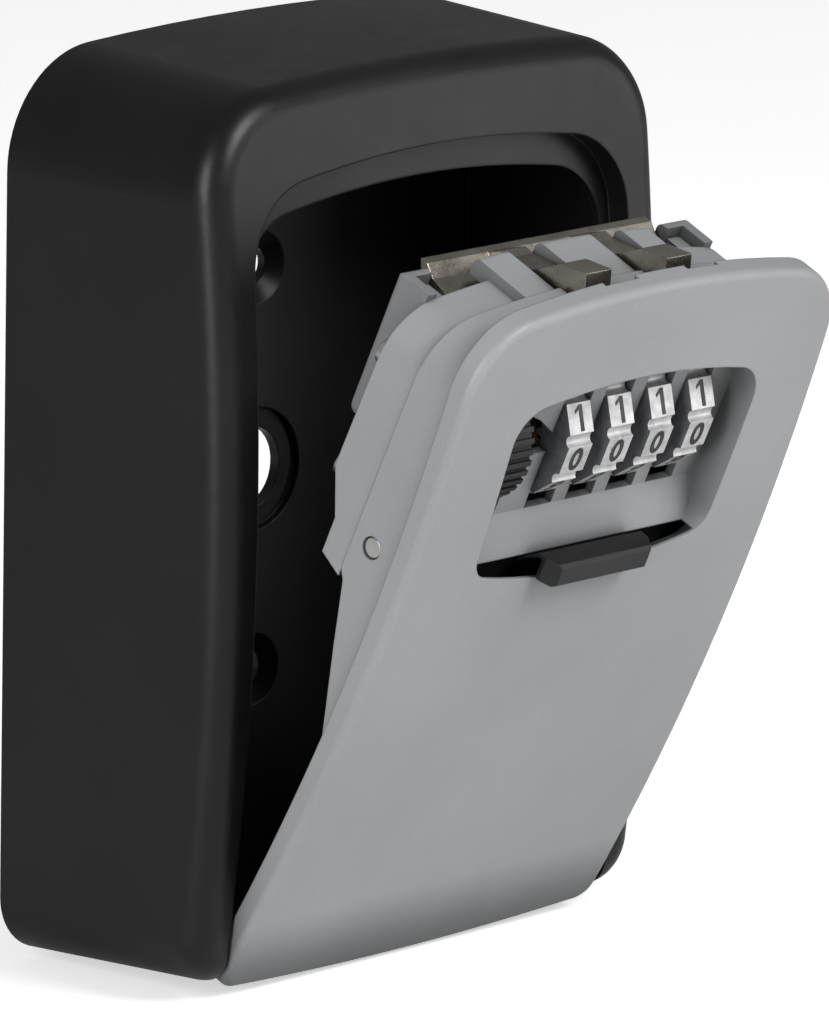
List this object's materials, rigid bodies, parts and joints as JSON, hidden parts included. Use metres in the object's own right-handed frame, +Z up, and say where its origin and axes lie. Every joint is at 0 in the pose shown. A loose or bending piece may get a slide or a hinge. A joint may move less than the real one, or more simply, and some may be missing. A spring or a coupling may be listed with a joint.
{
  "type": "key lock box",
  "caption": "Wall-mounted key lock box with a drop-down combination door, number wheels, sliding open button and a rocking spring latch, stored part open.",
  "frame": {"origin": "centre of the large wall hole on the flat back face, midway between the two screw holes", "axes": "+X to the right seen from the front, +Y into the wall, +Z up"},
  "size_m": [0.0856, 0.0748, 0.1186],
  "materials": {
    "body_black": "satin black powder coat on a zinc die casting",
    "door_grey": "satin grey paint on a zinc die casting",
    "cover_grey": "satin grey paint",
    "button_black": "black nylon, satin",
    "latch_nickel": "nickel plate over a slightly rough casting",
    "pin_steel": "ground steel",
    "screw_steel": "zinc-plated steel",
    "spring_steel": "spring steel",
    "link_steel": "pressed steel",
    "wheel_silver": "plated zinc with painted black numerals",
    "sleeve_brass": "turned brass"
  },
  "bodies": {
    "body": {"body_shell": "body_black", "hinge_pin": "pin_steel"},
    "door": {"door_front": "door_grey", "lock_housing": "door_grey", "rear_cover": "cover_grey", "cover_screws": "screw_steel", "housing_screws": "screw_steel", "cross_pin": "pin_steel", "latch_pivot_pin": "pin_steel", "latch_spring": "spring_steel", "detent_spring": "spring_steel"},
    "latch": {"latch_rocker": "latch_nickel"},
    "opener": {"open_button": "button_black", "release_link": "link_steel"},
    "thumb": {"thumb_wheel": "button_black"},
    "code_carrier": {"wheel_spindle": "pin_steel", "code_change_lever": "link_steel"},
    "wheel_1": {"number_wheel_1": "wheel_silver"},
    "sleeve_1": {"code_sleeve_1": "sleeve_brass"},
    "wheel_2": {"number_wheel_2": "wheel_silver"},
    "sleeve_2": {"code_sleeve_2": "sleeve_brass"},
    "wheel_3": {"number_wheel_3": "wheel_silver"},
    "sleeve_3": {"code_sleeve_3": "sleeve_brass"},
    "wheel_4": {"number_wheel_4": "wheel_silver"},
    "sleeve_4": {"code_sleeve_4": "sleeve_brass"}
  },
  "joints": [
    {"name": "door_hinge", "type": "hinge", "parent": "body", "child": "door", "pos_m": [0, -0.0286, -0.0532], "axis": [1, 0, 0], "range_deg": [-24.3, 65.7]},
    {"name": "latch_rock", "type": "hinge", "parent": "door", "child": "latch", "pos_m": [0, -0.05357, 0.03296], "axis": [1, 0, 0], "range_deg": [0, 18], "stiffness_Nm_per_rad": 0.05, "springref_deg": -28.65},
    {"name": "opener_slide", "type": "slide", "parent": "door", "child": "opener", "axis": [0, 0.4115, -0.9114], "range_m": [0, 0.0026]},
    {"name": "thumb_spin", "type": "hinge", "parent": "door", "child": "thumb", "pos_m": [-0.0183, -0.05731, 0.01635], "axis": [1, 0, 0], "continuous": true},
    {"name": "code_change", "type": "slide", "parent": "door", "child": "code_carrier", "axis": [1, 0, 0], "range_m": [0, 0.0018]},
    {"name": "wheel_1_spin", "type": "hinge", "parent": "door", "child": "wheel_1", "pos_m": [-0.00705, -0.05731, 0.01635], "axis": [1, 0, 0], "continuous": true},
    {"name": "wheel_2_spin", "type": "hinge", "parent": "door", "child": "wheel_2", "pos_m": [0.00045, -0.05731, 0.01635], "axis": [1, 0, 0], "continuous": true},
    {"name": "wheel_3_spin", "type": "hinge", "parent": "door", "child": "wheel_3", "pos_m": [0.00795, -0.05731, 0.01635], "axis": [1, 0, 0], "continuous": true},
    {"name": "wheel_4_spin", "type": "hinge", "parent": "door", "child": "wheel_4", "pos_m": [0.01545, -0.05731, 0.01635], "axis": [1, 0, 0], "continuous": true},
    {"name": "sleeve_1_spin", "type": "hinge", "parent": "code_carrier", "child": "sleeve_1", "pos_m": [-0.00705, -0.05731, 0.01635], "axis": [1, 0, 0], "continuous": true},
    {"name": "sleeve_2_spin", "type": "hinge", "parent": "code_carrier", "child": "sleeve_2", "pos_m": [0.00045, -0.05731, 0.01635], "axis": [1, 0, 0], "continuous": true},
    {"name": "sleeve_3_spin", "type": "hinge", "parent": "code_carrier", "child": "sleeve_3", "pos_m": [0.00795, -0.05731, 0.01635], "axis": [1, 0, 0], "continuous": true},
    {"name": "sleeve_4_spin", "type": "hinge", "parent": "code_carrier", "child": "sleeve_4", "pos_m": [0.01545, -0.05731, 0.01635], "axis": [1, 0, 0], "continuous": true}
  ],
  "couplings": [
    {"joint": "latch_rock", "follows": "opener_slide", "rad_per_m": 120.83},
    {"joint": "sleeve_1_spin", "follows": "wheel_1_spin", "ratio": 1},
    {"joint": "sleeve_2_spin", "follows": "wheel_2_spin", "ratio": 1},
    {"joint": "sleeve_3_spin", "follows": "wheel_3_spin", "ratio": 1},
    {"joint": "sleeve_4_spin", "follows": "wheel_4_spin", "ratio": 1}
  ]
}
